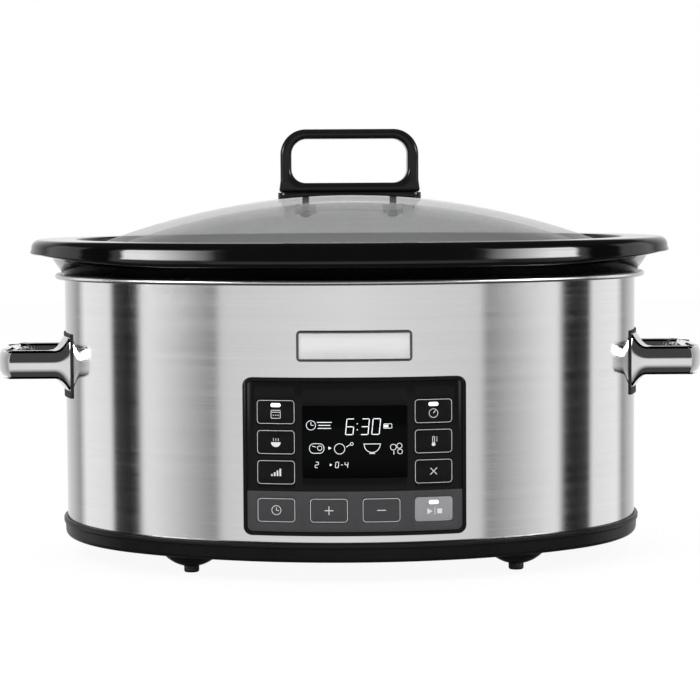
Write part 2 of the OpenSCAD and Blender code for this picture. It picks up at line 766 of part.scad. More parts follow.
shell();
heating_well();
heater_band();
band_clamps();
base_pan();
rubber_feet();
centre_stud();
stand_off_tube();
base_nut();
thermal_fuse();
temperature_sensor();
power_board();
relay();
transformer();
terminal_block();
cord_gland();
handle_left();
handle_right();
handle_gaskets();
handle_screws();
badge_plate();
badge_nuts();
panel_bezel();
panel_fascia();
display_window();
lcd_module();
control_board();
board_screws();
tact_switches();
ribbon_cable();
key_schedule();
key_food();
key_amount();
key_manual();
key_temperature();
key_cancel();
key_clock();
key_hour();
key_minute();
key_start();
lamp_schedule();
lamp_manual();
lamp_start();
crock();
lid_glass();
lid_handle();
lid_handle_base();
lid_washers();
lid_screws();
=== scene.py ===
import math
import bmesh
import bpy
from mathutils import Matrix, Vector


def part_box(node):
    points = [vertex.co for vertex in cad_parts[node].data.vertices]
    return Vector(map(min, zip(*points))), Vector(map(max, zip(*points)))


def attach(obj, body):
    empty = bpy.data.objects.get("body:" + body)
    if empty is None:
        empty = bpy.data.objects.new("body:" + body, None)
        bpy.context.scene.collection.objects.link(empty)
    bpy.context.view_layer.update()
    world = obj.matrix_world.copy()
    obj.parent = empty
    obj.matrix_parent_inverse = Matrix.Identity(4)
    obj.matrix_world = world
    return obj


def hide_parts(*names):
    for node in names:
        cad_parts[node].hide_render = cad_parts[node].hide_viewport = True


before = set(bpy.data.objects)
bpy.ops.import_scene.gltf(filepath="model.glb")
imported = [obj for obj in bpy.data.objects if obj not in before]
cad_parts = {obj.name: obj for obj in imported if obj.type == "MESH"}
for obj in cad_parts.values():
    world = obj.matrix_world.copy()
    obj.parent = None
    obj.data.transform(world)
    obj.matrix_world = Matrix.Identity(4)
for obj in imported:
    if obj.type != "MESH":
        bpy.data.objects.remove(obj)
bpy.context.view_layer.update()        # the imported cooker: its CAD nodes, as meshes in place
mm = 0.001

# Gaps under which points are merged, in metres.
mergeGap = 1e-7
ringGap = 5e-6
copyGap = 3e-6

# Driving sizes, in metres. The plan of the cooker is four tangent arcs.
badgeLow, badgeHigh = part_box("badge_plate")
windowLow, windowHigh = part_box("display_window")
longerBy = 38 * mm
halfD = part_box("shell")[1].y
halfW = halfD + longerBy
arcSpread = 2.5 * (halfW - halfD)
frontCentre = 0.8 * arcSpread
frontRadius = halfD - 0.2 * arcSpread + arcSpread
endTurn = 2 * math.atan2(0.8, 0.6)
frontTurn = 2 * math.atan2(0.6, 0.8)


def frontY(x, off):        # the front face at x, for a surface off outside the shell
    return frontCentre - math.sqrt((frontRadius + off) ** 2 - x * x)


def arcPoints(x, z, radius, start, end, count):        # a round stretch of a profile, in degrees
    turns = [math.radians(start + (end - start) * i / count) for i in range(count + 1)]
    return [(x + radius * math.cos(a), z + radius * math.sin(a)) for a in turns]


def ovalRing(bm, w, d, z, fine):        # one closed loop of edges round the plan, spun on its own and added
    s = 2.5 * (w - d)
    r = d - 0.2 * s
    ring = bmesh.new()
    geom = [ring.verts.new((0.6 * s + 0.6 * r, -0.8 * r, z))]
    arcs = [((0.6 * s, 0, 0), endTurn, 7 * fine), ((0, -0.8 * s, 0), frontTurn, 5 * fine),
            ((-0.6 * s, 0, 0), endTurn, 7 * fine), ((0, 0.8 * s, 0), frontTurn, 5 * fine)]
    for centre, turn, steps in arcs:
        made = bmesh.ops.spin(ring, geom=geom, cent=centre, axis=(0, 0, 1), angle=turn, steps=steps)
        geom = [g for g in made["geom_last"] if isinstance(g, bmesh.types.BMVert)]
    bmesh.ops.remove_doubles(ring, verts=ring.verts, dist=ringGap)
    carrier = bpy.data.meshes.new("ring")
    ring.to_mesh(carrier)
    ring.free()
    count = len(bm.edges)
    bm.from_mesh(carrier)
    bpy.data.meshes.remove(carrier)
    bm.edges.ensure_lookup_table()
    return bm.edges[count:]


def loftOvals(bm, rings, fine=5, closed=False):        # rings are (half width, half depth, height)
    loops = [ovalRing(bm, w, d, z, fine) for w, d, z in rings]
    pairs = list(zip(loops, loops[1:]))
    if closed:
        pairs.append((loops[-1], loops[0]))
    for first, second in pairs:        # every ring has its edges in the same order, so they face each other
        for low, high in zip(first, second):
            bm.faces.new((low.verts[0], low.verts[1], high.verts[1], high.verts[0]))
    return loops


def offsetRings(profile, w=halfW, d=halfD):        # a profile in millimetres outside one oval
    return [(w + off * mm, d + off * mm, z * mm) for off, z in profile]


def fillEnds(bm, loops):
    for loop in loops:
        bmesh.ops.edgeloop_fill(bm, edges=loop)


def roundedLoop(bm, x, z, w, h, radius):        # a closed rounded rectangle, seen from the front
    oldVerts, oldEdges = set(bm.verts), set(bm.edges)
    for quarter in range(4):
        turn = math.pi / 2 * quarter
        sideX, sideZ = (w / 2, h / 2) if quarter % 2 == 0 else (h / 2, w / 2)
        corner = (sideX - radius, sideZ - radius)
        centre = Vector((corner[0] * math.cos(turn) - corner[1] * math.sin(turn), 0,
                         corner[0] * math.sin(turn) + corner[1] * math.cos(turn)))
        start = centre + Vector((radius * math.cos(turn), 0, radius * math.sin(turn)))
        vert = bm.verts.new(start)
        bmesh.ops.spin(bm, geom=[vert], cent=centre, axis=(0, -1, 0), angle=math.pi / 2, steps=6)
    loose = [v for v in bm.verts if v not in oldVerts]
    bmesh.ops.remove_doubles(bm, verts=loose, dist=mergeGap)
    made = [v for v in bm.verts if v not in oldVerts]
    ends = sorted((v for v in made if len(v.link_edges) == 1),
                  key=lambda v: math.atan2(v.co.z, v.co.x) % (2 * math.pi))
    for i in range(1, len(ends), 2):
        bm.edges.new((ends[i], ends[(i + 1) % len(ends)]))
    bmesh.ops.translate(bm, verts=made, vec=(x, 0, z))
    return [e for e in bm.edges if e not in oldEdges]


def cutAll(bm, spot, across):        # a cut through everything, at a point and across a direction
    geom = bm.verts[:] + bm.edges[:] + bm.faces[:]
    bmesh.ops.bisect_plane(bm, geom=geom, dist=mergeGap, plane_co=spot, plane_no=across)


def wrapSlab(bm, low, high):        # flat faces at y 0 become a slab that follows the front
    step = 2 * mm
    xs = [v.co.x for v in bm.verts]
    first = math.ceil(min(xs) / step)
    for i in range(first, math.floor(max(xs) / step) + 1):
        cutAll(bm, (i * step, 0, 0), (1, 0, 0))
    made = bmesh.ops.extrude_face_region(bm, geom=bm.faces[:], use_keep_orig=True)
    back = {g for g in made["geom"] if isinstance(g, bmesh.types.BMVert)}
    for vert in bm.verts:
        vert.co.y = frontY(vert.co.x, low if vert in back else high)


def softenEdges(bm, width, angle=35, segments=2):
    sharp = [e for e in bm.edges if len(e.link_faces) == 2 and e.calc_face_angle() > math.radians(angle)]
    if sharp:
        bmesh.ops.bevel(bm, geom=sharp, offset=width, affect="EDGES", segments=segments, profile=0.5,
                        material=-1, clamp_overlap=True)


def finishMesh(bm, name, sharpAngle=40, turnOut=True):        # a bmesh becomes an object at the origin
    bmesh.ops.remove_doubles(bm, verts=bm.verts, dist=mergeGap)
    if turnOut:
        bmesh.ops.recalc_face_normals(bm, faces=bm.faces)
    mesh = bpy.data.meshes.new(name)
    bm.to_mesh(mesh)
    bm.free()
    mesh.shade_smooth()
    mesh.set_sharp_from_angle(angle=math.radians(sharpAngle))
    piece = bpy.data.objects.new(name, mesh)
    bpy.context.scene.collection.objects.link(piece)
    return piece


def place(piece, body, slot, *nodes):        # rides a body and stands for its CAD nodes
    piece.data.materials.clear()
    piece.data.materials.append(finishes[slot])
    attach(piece, body)
    if nodes:
        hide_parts(*nodes)
    return piece


def softCopy(node, width, split=None):        # a CAD piece with its edges broken
    bm = bmesh.new()
    bm.from_mesh(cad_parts[node].data)
    bmesh.ops.remove_doubles(bm, verts=bm.verts, dist=copyGap)
    bmesh.ops.dissolve_limit(bm, angle_limit=math.radians(0.4), verts=bm.verts, edges=bm.edges)
    softenEdges(bm, width)
    if split:
        cutAll(bm, (0, 0, split), (0, 0, 1))
    return finishMesh(bm, node + "_finished", 50, turnOut=False)


class Wire:        # a socket that can be used in sums
    def __init__(self, maker, socket):
        self.maker = maker
        self.socket = socket

    def maths(self, operation, first, second):
        return self.maker.node("ShaderNodeMath", {"operation": operation}, {0: first, 1: second})

    def __add__(self, other):
        return self.maths("ADD", self, other)

    def __radd__(self, other):
        return self.maths("ADD", other, self)

    def __sub__(self, other):
        return self.maths("SUBTRACT", self, other)

    def __rsub__(self, other):
        return self.maths("SUBTRACT", other, self)

    def __mul__(self, other):
        return self.maths("MULTIPLY", self, other)

    def __rmul__(self, other):
        return self.maths("MULTIPLY", other, self)

    def __truediv__(self, other):
        return self.maths("DIVIDE", self, other)


class Finish:        # builds one node tree
    def __init__(self, owner):
        owner.use_nodes = True
        self.owner = owner
        self.tree = owner.node_tree
        self.tree.nodes.clear()

    def node(self, kind, settings=None, inputs=None, out=0):
        made = self.tree.nodes.new(kind)
        for key, value in (settings or {}).items():
            if key == "stops":
                for position, tone in value[2:]:
                    made.color_ramp.elements.new(position)
                for element, (position, tone) in zip(made.color_ramp.elements, value):
                    element.position = position
                    element.color = (*tone, 1)
            else:
                setattr(made, key, value)
        for key, value in (inputs or {}).items():
            if isinstance(value, Wire):
                self.tree.links.new(value.socket, made.inputs[key])
            else:
                made.inputs[key].default_value = value
        return Wire(self, made.outputs[out])

    def coords(self, scale=(1, 1, 1)):        # Object coordinates, in metres
        spot = self.node("ShaderNodeTexCoord", out="Object")
        return self.node("ShaderNodeMapping", {}, {"Vector": spot, "Scale": scale})

    def noise(self, scale, detail, stretch=(1, 1, 1)):
        inputs = {"Vector": self.coords(stretch), "Scale": scale, "Detail": detail}
        return self.node("ShaderNodeTexNoise", {}, inputs)

    def between(self, wire, low, high, fromLow=0.3, fromHigh=0.7):
        return self.node("ShaderNodeMapRange", {}, {"Value": wire, "From Min": fromLow, "From Max": fromHigh,
                                                    "To Min": low, "To Max": high})

    def tones(self, wire, first, second):        # a colour between two, along a value
        ends = [tone if isinstance(tone, Wire) else (*tone, 1) for tone in (first, second)]
        return self.node("ShaderNodeMix", {"data_type": "RGBA"}, {0: wire, 6: ends[0], 7: ends[1]}, out=2)

    def bump(self, height, depth, strength):
        return self.node("ShaderNodeBump", {}, {"Height": height, "Distance": depth, "Strength": strength})

    def surface(self, sockets):
        self.join(self.node("ShaderNodeBsdfPrincipled", {}, sockets), "ShaderNodeOutputMaterial")
        return self.owner

    def join(self, shader, kind):
        last = self.tree.nodes.new(kind)
        self.tree.links.new(shader.socket, last.inputs["Surface"])


def newFinish(name):
    return Finish(bpy.data.materials.new(name))


def brushedMetal(name, tone, rough, grain=2200, metallic=1):        # fine lines run round the body
    f = newFinish(name)
    lines = f.noise(1, 3, (9, 9, grain))
    broad = f.noise(1, 2, (3, 3, 260))
    shade = f.tones(f.between(lines * 0.6 + broad * 0.4, 0, 1), [t * 0.93 for t in tone], tone)
    return f.surface({"Base Color": shade, "Metallic": metallic,
                      "Roughness": f.between(lines * 0.7 + broad * 0.3, rough - 0.03, rough + 0.04),
                      "Normal": f.bump(lines, 0.00002, 0.12)})


def polishedMetal(name, tone, rough):
    f = newFinish(name)
    cloud = f.noise(45, 3)
    return f.surface({"Base Color": f.tones(cloud, [t * 0.97 for t in tone], tone), "Metallic": 1,
                      "Roughness": f.between(cloud, rough * 0.95, rough * 1.05),
                      "Normal": f.bump(f.noise(900, 2), 0.00001, 0.1)})


def mouldedPlastic(name, tone, rough, grain=1600, depth=0.00003, shine=0.3):
    f = newFinish(name)
    fine = f.noise(grain, 2)
    cloud = f.noise(30, 3)
    return f.surface({"Base Color": f.tones(cloud, tone, [t * 1.25 + 0.002 for t in tone]),
                      "Roughness": f.between(cloud * 0.5 + fine * 0.5, rough - 0.05, rough + 0.07),
                      "Specular IOR Level": shine, "Normal": f.bump(fine, depth, 0.5)})


def glossBlack(name, tone, rough, shine):
    f = newFinish(name)
    cloud = f.noise(14, 3)
    return f.surface({"Base Color": f.tones(cloud, tone, [t * 1.4 + 0.001 for t in tone]),
                      "Roughness": f.between(cloud, rough * 0.7, rough * 1.3), "Specular IOR Level": shine,
                      "Normal": f.bump(f.noise(70, 2), 0.00003, 0.35)})


def clearMaterial(name, tone, rough, cover):        # smoked: each face lets most of the light through
    f = newFinish(name)
    cloud = f.noise(30, 2)
    return f.surface({"Base Color": f.tones(cloud, [t * 0.96 for t in tone], tone),
                      "Roughness": f.between(cloud, rough * 0.6, rough * 1.4),
                      "Alpha": f.between(cloud, cover - 0.01, cover + 0.01)})


def litMaterial(name, tone, strength):
    f = newFinish(name)
    cloud = f.noise(200, 2)
    shade = f.tones(f.between(cloud, 0, 1), [t * 0.92 for t in tone], tone)
    return f.surface({"Base Color": shade, "Roughness": 0.4, "Emission Color": shade,
                      "Emission Strength": strength})


def glazedStone(name):        # thick black glaze with a faint orange-peel surface and a little speckle
    f = newFinish(name)
    cloud = f.noise(16, 4)
    speck = f.node("ShaderNodeTexVoronoi", {}, {"Vector": f.coords(), "Scale": 900})
    fleck = f.between(speck, 1, 0, 0, 0.12)
    shade = f.tones(fleck, (0.002, 0.002, 0.0022), (0.006, 0.0056, 0.0052))
    return f.surface({"Base Color": shade, "Roughness": f.between(cloud, 0.04, 0.08),
                      "Specular IOR Level": 0.42, "Normal": f.bump(f.noise(55, 3), 0.00006, 0.2)})


def boardResin(name, tone):
    f = newFinish(name)
    tracks = f.node("ShaderNodeTexBrick", {"offset": 0.5},
                    {"Vector": f.coords(), "Scale": 220, "Mortar Size": 0.012})
    shade = f.tones(tracks, tone, [t * 1.8 for t in tone])
    return f.surface({"Base Color": shade, "Roughness": 0.35, "Normal": f.bump(tracks, 0.00003, 0.5)})


# One finish for each slot of the record, then those for marks and second tones.
finishes = {
    "brushed_steel": brushedMetal("brushed_steel", (0.8, 0.8, 0.805), 0.11),
    "polished_steel": polishedMetal("polished_steel", (0.85, 0.85, 0.85), 0.26),
    "heater_metal": brushedMetal("heater_metal", (0.5, 0.46, 0.42), 0.45, 300),
    "base_plastic": mouldedPlastic("base_plastic", (0.005, 0.005, 0.0054), 0.3, shine=0.14),
    "black_rubber": mouldedPlastic("black_rubber", (0.016, 0.016, 0.017), 0.62, 900, 0.00008),
    "zinc_steel": polishedMetal("zinc_steel", (0.62, 0.62, 0.6), 0.3),
    "fuse_ceramic": mouldedPlastic("fuse_ceramic", (0.7, 0.68, 0.62), 0.55),
    "board_green": boardResin("board_green", (0.01, 0.12, 0.05)),
    "part_blue": mouldedPlastic("part_blue", (0.02, 0.08, 0.32), 0.4),
    "part_yellow": mouldedPlastic("part_yellow", (0.6, 0.4, 0.05), 0.45),
    "part_green": mouldedPlastic("part_green", (0.03, 0.35, 0.1), 0.4),
    "part_black": mouldedPlastic("part_black", (0.02, 0.02, 0.02), 0.4),
    "cable_grey": mouldedPlastic("cable_grey", (0.3, 0.3, 0.31), 0.45),
    "handle_metal": polishedMetal("handle_metal", (0.82, 0.82, 0.83), 0.08),
    "plate_metal": brushedMetal("plate_metal", (0.8, 0.8, 0.8), 0.34, 1400, 0.5),
    "panel_black": glossBlack("panel_black", (0.004, 0.004, 0.0043), 0.14, 0.08),
    "key_black": mouldedPlastic("key_black", (0.004, 0.004, 0.0043), 0.3, shine=0.08),
    "key_dark_grey": mouldedPlastic("key_dark_grey", (0.036, 0.036, 0.038), 0.34, shine=0.1),
    "key_grey": mouldedPlastic("key_grey", (0.2, 0.2, 0.205), 0.34, shine=0.15),
    "lamp_white": litMaterial("lamp_white", (1, 1, 0.98), 1),
    "display_lens": glossBlack("display_lens", (0.0008, 0.0009, 0.001), 0.08, 0.04),
    "display_dark": mouldedPlastic("display_dark", (0.004, 0.005, 0.006), 0.3, shine=0.2),
    "stoneware_black": glazedStone("stoneware_black"),
    "lid_glass": clearMaterial("lid_glass", (0.22, 0.223, 0.227), 0.05, 0.38),
    "lid_plastic": glossBlack("lid_plastic", (0.006, 0.006, 0.007), 0.14, 0.22),
    "washer_clear": clearMaterial("washer_clear", (0.5, 0.51, 0.52), 0.12, 0.4),
    "screw_dark": polishedMetal("screw_dark", (0.09, 0.09, 0.095), 0.25)}
# The key print is real white ink with a faint painted glow added, though it is no lamp.
inkWithPaintedGlow = litMaterial("ink_white_painted_glow", (0.55, 0.55, 0.55), 0.14)
segmentWhite = litMaterial("segment_white", (0.7, 0.74, 0.76), 0.55)
satinGrey = mouldedPlastic("satin_grey", (0.035, 0.035, 0.037), 0.36)
darkChrome = polishedMetal("dark_chrome", (0.12, 0.12, 0.125), 0.2)
bandGrey = mouldedPlastic("band_grey", (0.04, 0.04, 0.042), 0.3, shine=0.1)
print("finishes made for the slots:", len(finishes))


# Sizes in these dictionaries are in millimetres.
shellSizes = {"foot": 16.4, "top": 161.3, "sheet": 0.8, "holeHalf": 58.8, "holeLow": 27.2, "holeHigh": 109.8,
              "front": -90}


def buildShell(p):
    bm = bmesh.new()
    levels = [p["foot"], p["holeLow"], p["holeHigh"], p["top"]]
    profile = [(0, z) for z in levels] + [(-p["sheet"], z) for z in reversed(levels)]
    loftOvals(bm, offsetRings(profile), 7, closed=True)
    bmesh.ops.recalc_face_normals(bm, faces=bm.faces)
    for side in (-1, 1):        # the panel's cut-out
        front = [f for f in bm.faces if f.calc_center_median().y < p["front"] * mm]
        geom = front + list({e for f in front for e in f.edges}) + list({v for f in front for v in f.verts})
        bmesh.ops.bisect_plane(bm, geom=geom, dist=mergeGap, plane_co=(side * p["holeHalf"] * mm, 0, 0),
                               plane_no=(1, 0, 0))
    cut = []
    for face in bm.faces:
        c = face.calc_center_median() / mm
        if abs(c.x) < p["holeHalf"] and c.y < p["front"] and p["holeLow"] < c.z < p["holeHigh"]:
            cut.append(face)
    bmesh.ops.delete(bm, geom=cut, context="FACES")
    bmesh.ops.bridge_loops(bm, edges=[e for e in bm.edges if e.is_boundary])
    place(finishMesh(bm, "shell_sheet", turnOut=False), "base", "brushed_steel", "shell")


wellSizes = {"floor": 30, "sheet": 0.8, "wall": -18, "flange": 162.1, "beadOff": 4, "beadRadius": 1.5}


def buildWell(p):
    bm = bmesh.new()
    wall, under = p["wall"], p["flange"] - p["sheet"]
    profile = [(wall - p["sheet"], p["floor"]), (wall - p["sheet"], under)]
    profile += [(p["beadOff"] - 1.4, under)]
    profile += arcPoints(p["beadOff"], p["flange"] - 0.4, p["beadRadius"], -150, 150, 14)
    profile += [(p["beadOff"] - 1.4, p["flange"]), (wall + 2, p["flange"])]
    profile += arcPoints(wall + 2, p["flange"] - 2, 2, 100, 180, 5)
    profile += arcPoints(wall - 3, p["floor"] + p["sheet"] + 3, 3, 0, -90, 4)
    loops = loftOvals(bm, offsetRings(profile))
    fillEnds(bm, (loops[0], loops[-1]))
    place(finishMesh(bm, "well_and_bead", 50), "base", "polished_steel", "heating_well")


crockSizes = {"wallOff": -22, "wall": 7, "bottom": 32.8, "foot": 14, "seat": 162.45, "top": 182.85,
              "ledge": 175.95, "lugOut": 19.8, "brimOut": 12, "recess": -8.5, "lip": 5.6, "thinFrom": 100,
              "thinSpan": 75, "thinBy": 0.62, "thinCurve": 1.6}


def buildCrock(p):
    bm = bmesh.new()
    out, inside, low, top = p["wallOff"], p["wallOff"] - p["wall"], p["bottom"], p["top"]
    footX, footZ = out - p["foot"], low + p["foot"]
    brimW, brimD = halfW + p["lugOut"] * mm, halfD + p["brimOut"] * mm
    body = arcPoints(footX, footZ, p["foot"], 270, 360, 8) + [(out, footZ + 40), (out, p["seat"])]
    seat = [(halfW + side * mm, halfD - (3 - side) * mm, (p["seat"] + up) * mm)
            for side, up in ((0, 0), (1, 0.5))]
    brim = [(-12, p["seat"] + 4), (-7.5, p["seat"] + 5.6), (-3.6, p["seat"] + 7)]
    brim += arcPoints(-3, top - 10.4, 3, 305, 360, 6) + [(-0.3, top - 7.8), (-0.7, top - 5.2)]
    brim += arcPoints(-5.5, top - 4.8, 4.8, 4, 90, 8) + [(-7.5, top)]
    mouth = [(-4, top), (-6.2, top), (-6.9, top - 0.5), (-7.1, top - 1.2), (p["recess"], p["ledge"] + 3),
             (p["recess"], p["ledge"]), (inside + 2, p["ledge"])]
    mouth += arcPoints(inside, p["ledge"] - 2, 2, 80, 10, 5)
    mouth += [(inside, p["ledge"] - 6), (inside, footZ + 40)]
    mouth += arcPoints(footX, footZ, p["foot"] - p["wall"], 360, 270, 7)
    rings = offsetRings(body) + seat + offsetRings(brim, brimW, brimD) + offsetRings(mouth)
    loops = loftOvals(bm, rings, 7)
    fillEnds(bm, (loops[0], loops[-1]))
    for vert in bm.verts:        # the brim thins towards the end lugs
        under = (top - p["lip"]) * mm - vert.co.z
        share = min(1, max(0, (abs(vert.co.x) / mm - p["thinFrom"]) / p["thinSpan"]))
        outside = math.hypot(vert.co.x / (halfW + 2 * mm), vert.co.y / (halfD - 1 * mm)) > 1
        if outside and 0 < under < (top - p["lip"] - p["seat"] - 3.5) * mm:
            vert.co.z += p["thinBy"] * under * share ** p["thinCurve"]
    place(finishMesh(bm, "crock_glazed", 50), "crock", "stoneware_black", "crock")


lidSizes = {"halfW": 156.5, "halfD": 118.5, "top": 207.65, "rise": 31.7, "glass": 4, "edge": 176.25,
            "centre": 0.03, "domeEnd": 0.9, "steps": 16}


def domeZ(q):        # the height of the dome at a share of its half width
    return lidSizes["top"] - lidSizes["rise"] * q * q


def buildGlass(p):
    bm = bmesh.new()
    edge, domeSpan = p["edge"], p["domeEnd"] - p["centre"]
    shares = [p["centre"] + domeSpan * i / p["steps"] for i in range(p["steps"] + 1)]
    outer = [(q, domeZ(q)) for q in shares]
    flange = [(0.925, domeZ(p["domeEnd"]) - 1.8), (0.945, edge + 3.5), (0.985, edge + 3.6),
              (0.996, edge + 3.35), (1, edge + 2.8), (1, edge + 0.6), (0.996, edge + 0.15), (0.99, edge),
              (0.94, edge), (0.91, edge + 0.65)]
    inner = [(q * 0.985, z - p["glass"]) for q, z in reversed(outer)]
    rings = [(p["halfW"] * q * mm, p["halfD"] * q * mm, z * mm) for q, z in outer + flange + inner]
    loops = loftOvals(bm, rings, 6)
    fillEnds(bm, (loops[0], loops[-1]))
    place(finishMesh(bm, "lid_dome", 50), "lid", "lid_glass", "lid_glass")


gripSizes = {"low": 209.05, "high": 246.05, "half": 40, "foot": 41, "depth": 24, "corner": 14, "opening": 67.2,
             "openLow": 215.05, "openHigh": 240.45, "openCorner": 8.5, "round": 2.4, "arch": 1.1,
             "satinFrom": 36.5, "satinTop": 243.5}


def cornerFace(bm, corners, radii):        # a face from its corners, each rounded to its radius
    verts = [bm.verts.new((x * mm, 0, z * mm)) for x, z in corners]
    face = bm.faces.new(verts)
    for vert, radius in zip(verts, radii):
        if radius:
            bmesh.ops.bevel(bm, geom=[vert], offset=radius * mm, affect="VERTICES", segments=10, profile=0.5,
                            material=-1)
    return face


def buildGrip(p):
    bm = bmesh.new()
    foot, half, gap = p["foot"], p["half"], p["opening"] / 2
    cornerFace(bm, [(-foot, p["low"]), (foot, p["low"]), (half, p["low"] + 8), (half, p["high"]),
                    (-half, p["high"]), (-half, p["low"] + 8)], (0, 0, 0, p["corner"], p["corner"], 0))
    cornerFace(bm, [(-gap, p["openLow"]), (gap, p["openLow"]), (gap, p["openHigh"]), (-gap, p["openHigh"])],
               [p["openCorner"]] * 4)
    bmesh.ops.delete(bm, geom=bm.faces[:], context="FACES_ONLY")
    bmesh.ops.triangle_fill(bm, edges=bm.edges[:], use_beauty=True)
    made = bmesh.ops.extrude_face_region(bm, geom=bm.faces[:], use_keep_orig=True)
    moved = [g for g in made["geom"] if isinstance(g, bmesh.types.BMVert)]
    bmesh.ops.translate(bm, verts=moved, vec=(0, p["depth"] * mm, 0))
    bmesh.ops.translate(bm, verts=bm.verts, vec=(0, -p["depth"] / 2 * mm, 0))
    bmesh.ops.recalc_face_normals(bm, faces=bm.faces)
    softenEdges(bm, p["round"] * mm, 50, 4)
    for vert in bm.verts:        # a slight arch
        rise = min(1, (vert.co.z / mm - p["low"]) / 5)
        vert.co.z -= p["arch"] * mm * rise * (vert.co.x / (p["half"] * mm)) ** 2
    piece = place(finishMesh(bm, "grip_loop", 50), "lid", "lid_plastic", "lid_handle")
    piece.data.materials.append(satinGrey)
    for face in piece.data.polygons:
        c = face.center
        outside = abs(c.x) > p["satinFrom"] * mm or c.z > p["satinTop"] * mm
        face.material_index = 1 if outside and abs(face.normal.y) < 0.5 else 0


handleSizes = {"tip": 205, "half": 38, "corner": 12, "arm": 12, "plate": 169.2, "bow": 75, "low": 104,
               "high": 120, "rootLow": 97, "rootHigh": 127.5, "flare": 8, "round": 4.4, "seat": 1, "opening": 7,
               "inside": 150, "cutLength": 1.2, "cutWidth": 4}


def buildSideHandle(p, side, name, node):        # a flat loop, rounded, bowed, flared and seated on the shell
    bm = bmesh.new()
    tip, half, inner = p["tip"], p["half"], p["half"] - p["arm"]
    middle, thick = (p["low"] + p["high"]) / 2 * mm, (p["high"] - p["low"]) * mm
    spreads = [(middle - p["rootLow"] * mm) / (thick / 2), (p["rootHigh"] * mm - middle) / (thick / 2)]
    start, reachIn = p["inside"], tip - p["arm"]
    cornerFace(bm, [(start, -half), (tip, -half), (tip, half), (start, half)], (0, p["corner"], p["corner"], 0))
    cornerFace(bm, [(p["plate"], -inner), (reachIn, -inner), (reachIn, inner), (p["plate"], inner)],
               [p["opening"]] * 4)
    bmesh.ops.delete(bm, geom=bm.faces[:], context="FACES_ONLY")
    bmesh.ops.triangle_fill(bm, edges=bm.edges[:], use_beauty=True)
    bmesh.ops.rotate(bm, verts=bm.verts, cent=(0, 0, 0), matrix=Matrix.Rotation(-math.pi / 2, 3, "X"))
    for i in range(131, 150):        # cuts along the loop, near the shell
        cutAll(bm, (i * p["cutLength"] * mm, 0, 0), (1, 0, 0))
    for i in range(-9, 10):
        cutAll(bm, (0, i * p["cutWidth"] * mm, 0), (0, 1, 0))
    made = bmesh.ops.extrude_face_region(bm, geom=bm.faces[:], use_keep_orig=True)
    top = [g for g in made["geom"] if isinstance(g, bmesh.types.BMVert)]
    bmesh.ops.translate(bm, verts=top, vec=(0, 0, thick))
    bmesh.ops.translate(bm, verts=bm.verts, vec=(0, 0, p["low"] * mm))
    bmesh.ops.recalc_face_normals(bm, faces=bm.faces)
    for vert in bm.verts:
        reach = (tip - p["bow"]) * mm + math.sqrt((p["bow"] * mm) ** 2 - vert.co.y ** 2)
        vert.co.x = min(vert.co.x, reach)
    outer = [e for e in bm.edges if min(v.co.x for v in e.verts) > (start + 1) * mm]
    edges = [e for e in outer if e.calc_face_angle(0) > 1.2]
    bmesh.ops.bevel(bm, geom=edges, offset=p["round"] * mm, affect="EDGES", segments=2, profile=0.5,
                    material=-1)
    endCentre, endRadius = 0.6 * arcSpread, halfD - 0.2 * arcSpread + p["seat"] * mm
    for vert in bm.verts:
        face = endCentre + math.sqrt(endRadius ** 2 - vert.co.y ** 2)
        vert.co.x = max(vert.co.x, face)
        share = max(0, 1 - (vert.co.x - face) / (p["flare"] * mm))
        spread = spreads[1] if vert.co.z > middle else spreads[0]
        vert.co.z = middle + (vert.co.z - middle) * (1 + (spread - 1) * share ** 2)
    if side < 0:
        bmesh.ops.scale(bm, verts=bm.verts, vec=(-1, 1, 1))
    place(finishMesh(bm, name, 24), "base", "handle_metal", node)


buildShell(shellSizes)
buildSideHandle(handleSizes, -1, "left_loop", "handle_left")
buildSideHandle(handleSizes, 1, "right_loop", "handle_right")
buildWell(wellSizes)
buildCrock(crockSizes)
buildGlass(lidSizes)
buildGrip(gripSizes)
print("shell, handles, well, crock and lid made")

# Pieces finished from their CAD shapes: node, body, slot, edge width in millimetres.
softened = [("base_pan", "base", "base_plastic", 0.3), ("rubber_feet", "base", "black_rubber", 0.4),
            ("cord_gland", "base", "base_plastic", 0.4), ("handle_gaskets", "base", "black_rubber", 0.25),
            ("badge_plate", "base", "plate_metal", 0.25), ("panel_bezel", "base", "panel_black", 0.35),
            ("panel_fascia", "base", "panel_black", 0.12), ("display_window", "base", "display_lens", 0.12),
            ("lid_handle_base", "lid", "lid_plastic", 0.8), ("lid_washers", "lid", "washer_clear", 0.5),
            ("lid_screws", "lid", "screw_dark", 0.3)]
keySlots = {"key_schedule": "key_black", "key_food": "key_black", "key_amount": "key_black",
            "key_manual": "key_black", "key_temperature": "key_black", "key_cancel": "key_black",
            "key_clock": "key_dark_grey", "key_hour": "key_dark_grey", "key_minute": "key_dark_grey",
            "key_start": "key_grey"}
lampBodies = {"lamp_schedule": "key_schedule", "lamp_manual": "key_manual", "lamp_start": "key_start"}
bandTop = 50 * mm        # the lower band of the fascia is greyer
for node, body, slot, width in softened:
    place(softCopy(node, width * mm, bandTop if node == "panel_fascia" else None), body, slot, node)


def repaint(name, material, chosen):        # the chosen faces of a piece take a second finish
    piece = bpy.data.objects[name]
    piece.data.materials.append(material)
    for face in piece.data.polygons:
        if chosen(face):
            face.material_index = 1


